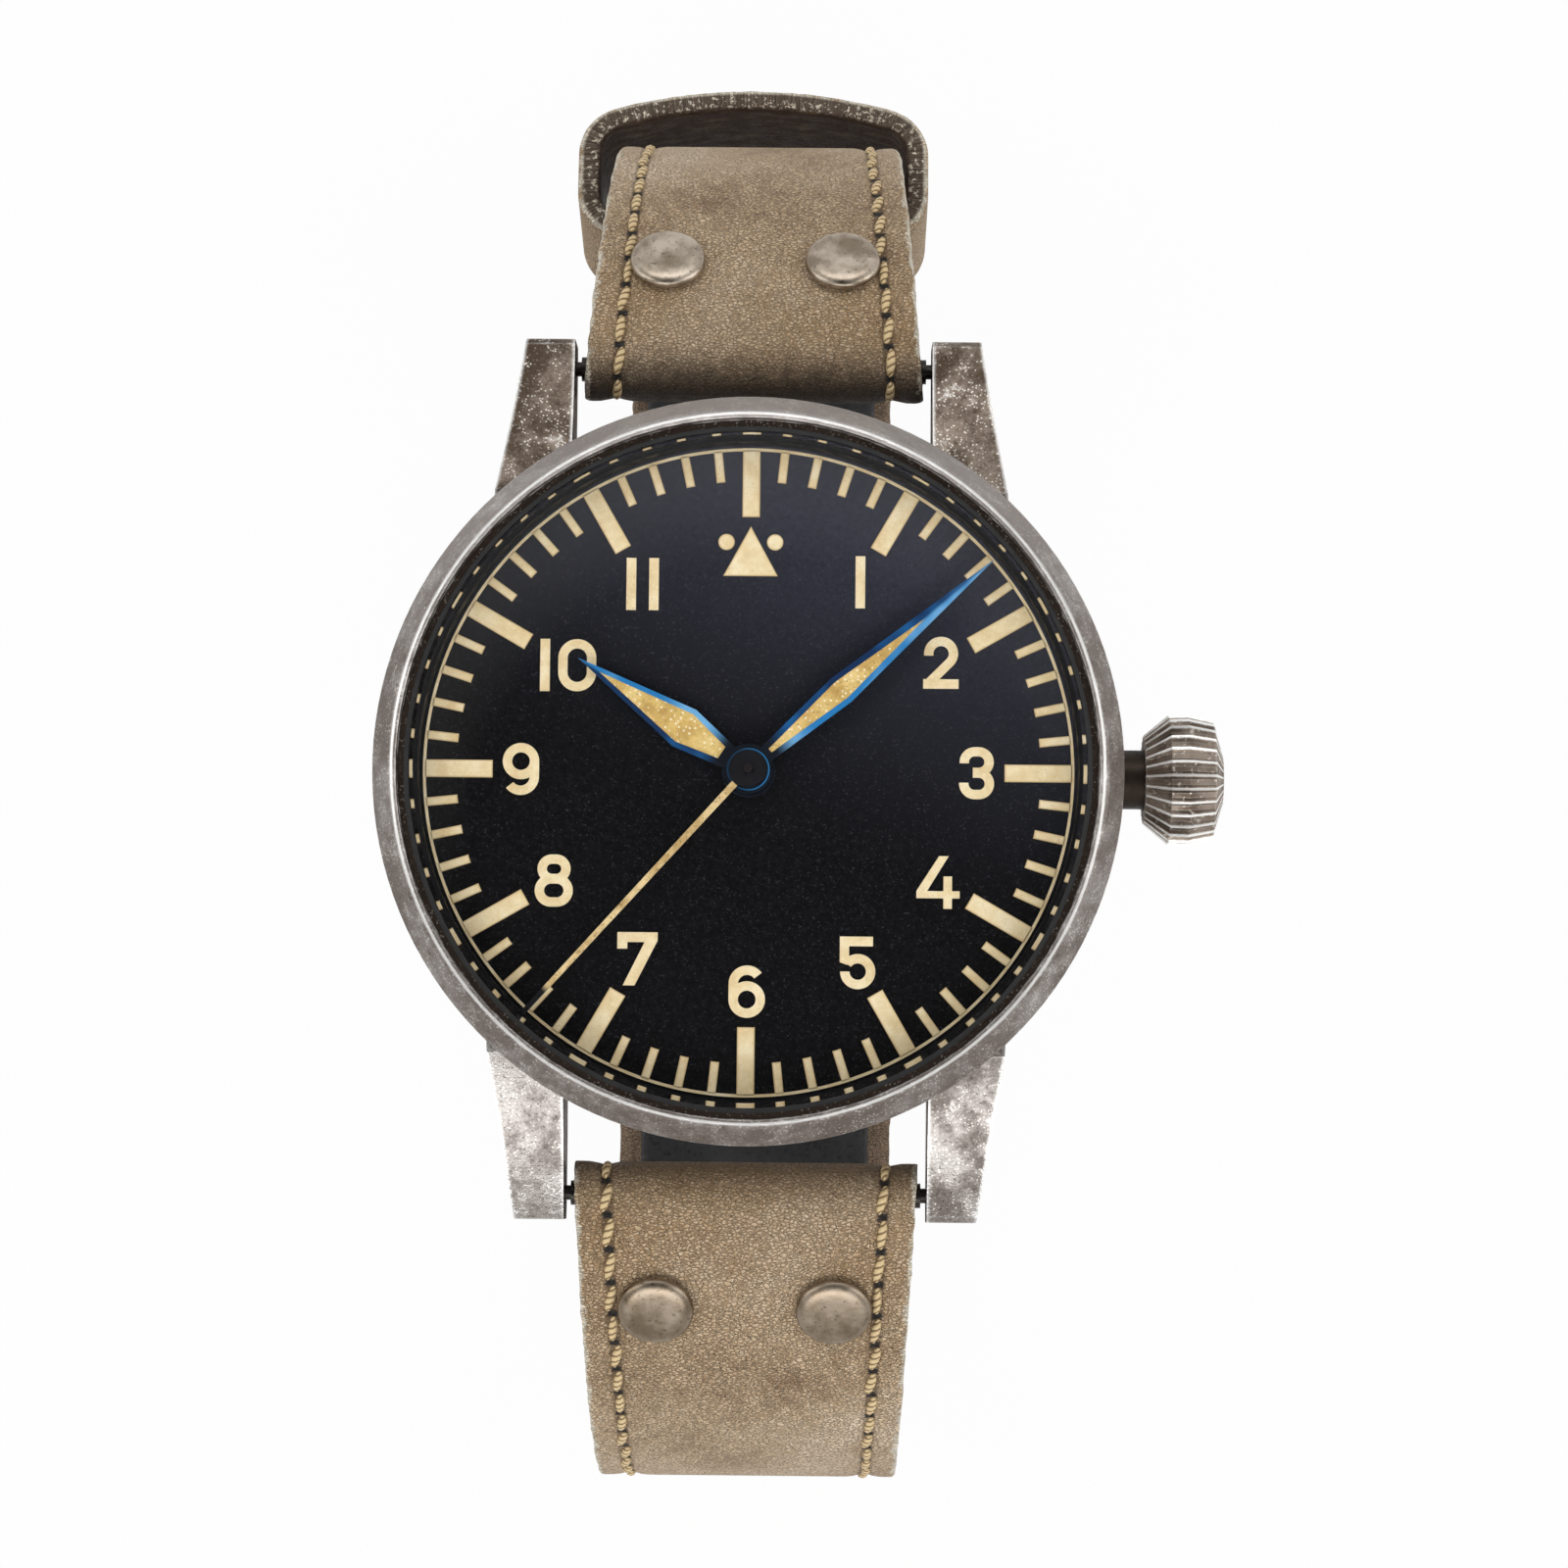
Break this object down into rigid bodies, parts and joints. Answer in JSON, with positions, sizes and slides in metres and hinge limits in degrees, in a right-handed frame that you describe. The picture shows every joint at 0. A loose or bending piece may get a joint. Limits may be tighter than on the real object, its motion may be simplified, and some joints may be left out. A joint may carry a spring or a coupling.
{
  "type": "pilot wristwatch",
  "caption": "Large hand-wound pilot's wristwatch with fluted crown and a buckled, riveted leather strap that stands as a closed loop.",
  "frame": {"origin": "middle of the case back's flat outer face, on the axis of the hands", "axes": "+Z out through the dial and crystal, +Y to 12 o'clock, +X to the crown at 3 o'clock"},
  "size_m": [0.0513, 0.0925, 0.0582],
  "materials": {
    "case_metal": "aged and worn, polished edges",
    "crystal": "clear polished",
    "seal": "matt",
    "inner_ring": "matt black",
    "dial_black": "matt black",
    "blued_steel": "heat blued",
    "lume": "aged cream",
    "seconds_paint": "aged cream",
    "steel": "fine brushed",
    "gilt_brass": "matt gilt",
    "jewel": "polished ruby",
    "strap_leather": "olive tan, grained, worn edges",
    "strap_lining": "smooth black",
    "rivet_bronze": "aged bronze",
    "buckle_metal": "aged and worn"
  },
  "bodies": {
    "watch": {"case_middle": "case_metal", "bezel": "case_metal", "crystal": "crystal", "crystal_gasket": "seal", "flange_ring": "inner_ring", "case_back": "case_metal", "back_gasket": "seal", "movement_ring": "gilt_brass", "casing_clamps": "steel", "dial": "dial_black", "crown_tube": "case_metal", "main_plate": "gilt_brass", "barrel_bridge": "gilt_brass", "train_bridge": "gilt_brass", "balance_cock": "gilt_brass", "pallet_bridge": "gilt_brass", "bridge_screws": "steel", "jewels": "jewel", "clutch_yoke": "steel", "spring_bars": "steel", "upper_strap_leather": "strap_leather", "upper_strap_lining": "strap_lining", "lower_strap_leather": "strap_leather", "lower_strap_lining": "strap_lining", "strap_rivets": "rivet_bronze", "fixed_keeper": "strap_leather", "buckle_bar": "buckle_metal"},
    "seconds": {"seconds_hand": "seconds_paint", "fourth_wheel": "gilt_brass"},
    "minutes": {"minute_hand": "blued_steel", "minute_hand_lume": "lume", "cannon_pinion": "steel", "centre_wheel": "gilt_brass"},
    "hours": {"hour_hand": "blued_steel", "hour_hand_lume": "lume", "hour_wheel": "gilt_brass"},
    "minute_gear": {"minute_wheel": "gilt_brass"},
    "setting_gear": {"setting_wheel": "steel"},
    "third": {"third_wheel": "gilt_brass"},
    "escape": {"escape_wheel": "steel"},
    "barrel": {"barrel_drum": "gilt_brass", "barrel_cover": "gilt_brass", "mainspring": "steel"},
    "ratchet": {"ratchet_wheel": "steel", "barrel_arbor": "steel"},
    "crown_gear": {"crown_wheel": "steel"},
    "click": {"click": "steel"},
    "clutch": {"sliding_clutch": "steel", "winding_pinion": "steel"},
    "crown": {"crown": "case_metal", "winding_stem": "steel", "crown_gasket": "seal"},
    "setting_lever": {"setting_lever": "steel"},
    "pallets": {"pallet_fork": "steel"},
    "balance": {"balance_wheel": "gilt_brass", "hairspring": "steel"},
    "free_keeper": {"free_keeper": "strap_leather"},
    "buckle_frame": {"buckle_frame": "buckle_metal"},
    "buckle_tongue": {"buckle_tongue": "buckle_metal"}
  },
  "joints": [
    {"name": "seconds_turn", "type": "hinge", "parent": "watch", "child": "seconds", "pos_m": [0, 0, 0.005], "axis": [0, 0, -1], "continuous": true},
    {"name": "minutes_turn", "type": "hinge", "parent": "watch", "child": "minutes", "pos_m": [0, 0, 0.005], "axis": [0, 0, -1], "continuous": true},
    {"name": "hours_turn", "type": "hinge", "parent": "watch", "child": "hours", "pos_m": [0, 0, 0.007], "axis": [0, 0, -1], "continuous": true},
    {"name": "minute_wheel_turn", "type": "hinge", "parent": "watch", "child": "minute_gear", "pos_m": [0.00384, 0, 0.0065], "axis": [0, 0, -1], "continuous": true},
    {"name": "setting_wheel_turn", "type": "hinge", "parent": "watch", "child": "setting_gear", "pos_m": [0.00864, 0, 0.0065], "axis": [0, 0, -1], "continuous": true},
    {"name": "third_wheel_turn", "type": "hinge", "parent": "watch", "child": "third", "pos_m": [-0.00445, -0.00067, 0.004], "axis": [0, 0, -1], "continuous": true},
    {"name": "escape_wheel_turn", "type": "hinge", "parent": "watch", "child": "escape", "pos_m": [0.00104, -0.0043, 0.004], "axis": [0, 0, -1], "continuous": true},
    {"name": "barrel_turn", "type": "hinge", "parent": "watch", "child": "barrel", "pos_m": [0.00469, 0.00374, 0.004], "axis": [0, 0, -1], "continuous": true},
    {"name": "pallet_fork_swing", "type": "hinge", "parent": "watch", "child": "pallets", "pos_m": [0.00082, -0.00683, 0.004], "axis": [0, 0, 1], "range_deg": [-5, 5]},
    {"name": "balance_swing", "type": "hinge", "parent": "watch", "child": "balance", "pos_m": [0.00053, -0.01012, 0.004], "axis": [0, 0, 1], "range_deg": [-150, 150], "stiffness_Nm_per_rad": 0.00000037},
    {"name": "crown_turn", "type": "hinge", "parent": "watch", "child": "clutch", "pos_m": [0.012, 0, 0.0046], "axis": [1, 0, 0], "continuous": true},
    {"name": "crown_pull", "type": "slide", "parent": "clutch", "child": "crown", "axis": [1, 0, 0], "range_m": [0, 0.001]},
    {"name": "crown_wheel_turn", "type": "hinge", "parent": "watch", "child": "crown_gear", "pos_m": [0.01176, 0, 0.0016], "axis": [0, 0, 1], "continuous": true},
    {"name": "ratchet_wheel_turn", "type": "hinge", "parent": "watch", "child": "ratchet", "pos_m": [0.00469, 0.00374, 0.0016], "axis": [0, 0, 1], "continuous": true},
    {"name": "click_lift", "type": "hinge", "parent": "watch", "child": "click", "pos_m": [0.00354, 0.01024, 0.0016], "axis": [0, 0, -1], "range_deg": [0, 8], "stiffness_Nm_per_rad": 0.00002},
    {"name": "setting_lever_swing", "type": "hinge", "parent": "watch", "child": "setting_lever", "pos_m": [0.01505, -0.0026, 0.0036], "axis": [0, 0, -1], "range_deg": [0, 21.8]},
    {"name": "keeper_slide", "type": "slide", "parent": "watch", "child": "free_keeper", "axis": [0, 0.2419, 0.9703], "range_m": [0, 0.002]},
    {"name": "buckle_frame_swing", "type": "hinge", "parent": "watch", "child": "buckle_frame", "pos_m": [0, 0.0015, -0.03837], "axis": [1, 0, 0], "range_deg": [0, 4]},
    {"name": "buckle_tongue_swing", "type": "hinge", "parent": "buckle_frame", "child": "buckle_tongue", "pos_m": [0, 0.0015, -0.03837], "axis": [1, 0, 0], "range_deg": [0, 6]}
  ],
  "couplings": [
    {"joint": "minutes_turn", "follows": "seconds_turn", "ratio": 0.016667},
    {"joint": "hours_turn", "follows": "seconds_turn", "ratio": 0.0013889},
    {"joint": "minute_wheel_turn", "follows": "seconds_turn", "ratio": -0.0055556},
    {"joint": "setting_wheel_turn", "follows": "seconds_turn", "ratio": 0.0083333},
    {"joint": "third_wheel_turn", "follows": "seconds_turn", "ratio": -0.13333},
    {"joint": "escape_wheel_turn", "follows": "seconds_turn", "ratio": -10},
    {"joint": "barrel_turn", "follows": "seconds_turn", "ratio": -0.002381},
    {"joint": "crown_wheel_turn", "follows": "crown_turn", "ratio": 0.625},
    {"joint": "ratchet_wheel_turn", "follows": "crown_turn", "ratio": -0.41667},
    {"joint": "setting_lever_swing", "follows": "crown_pull", "rad_per_m": 380}
  ]
}
